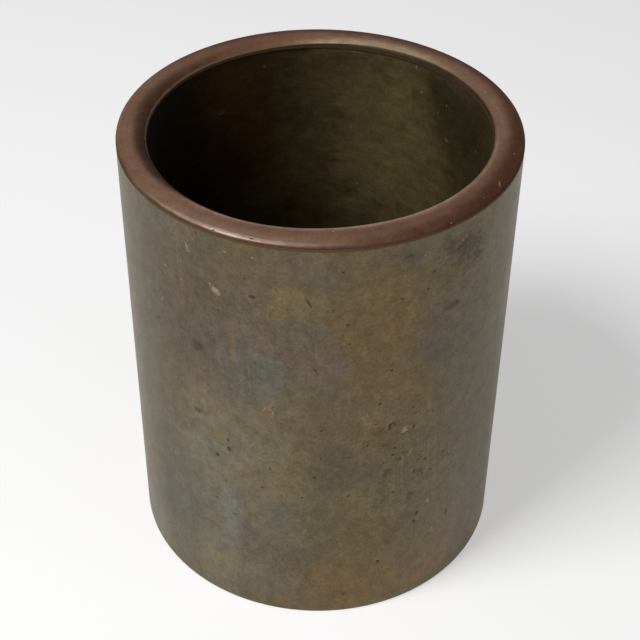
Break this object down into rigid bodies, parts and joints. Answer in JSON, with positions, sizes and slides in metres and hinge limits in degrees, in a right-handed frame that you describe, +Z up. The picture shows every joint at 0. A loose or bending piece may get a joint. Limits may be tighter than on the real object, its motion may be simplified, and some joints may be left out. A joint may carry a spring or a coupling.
{
  "type": "cylindrical bronze vessel",
  "caption": "Straight-walled cylindrical cast bronze vessel with a flat domed copper rim and a let-in base, open at the top to hold brushes or stems.",
  "frame": {"origin": "centre of the foot, on the surface that the vessel stands on", "axes": "+Z up along the vessel's axis; it is the same all round, so +X and +Y point to no feature"},
  "size_m": [0.11, 0.11, 0.136],
  "materials": {
    "cast_bronze": "satin mottled olive grey and ochre patina on cast bronze",
    "rim_copper": "worn satin copper brown",
    "base_bronze": "dark olive patina with turning marks",
    "solder": "dull tarnished solder"
  },
  "bodies": {
    "root": {"body_wall": "cast_bronze", "rim_ring": "rim_copper", "rim_solder": "solder", "base_plate": "base_bronze", "base_solder": "solder"}
  },
  "joints": []
}
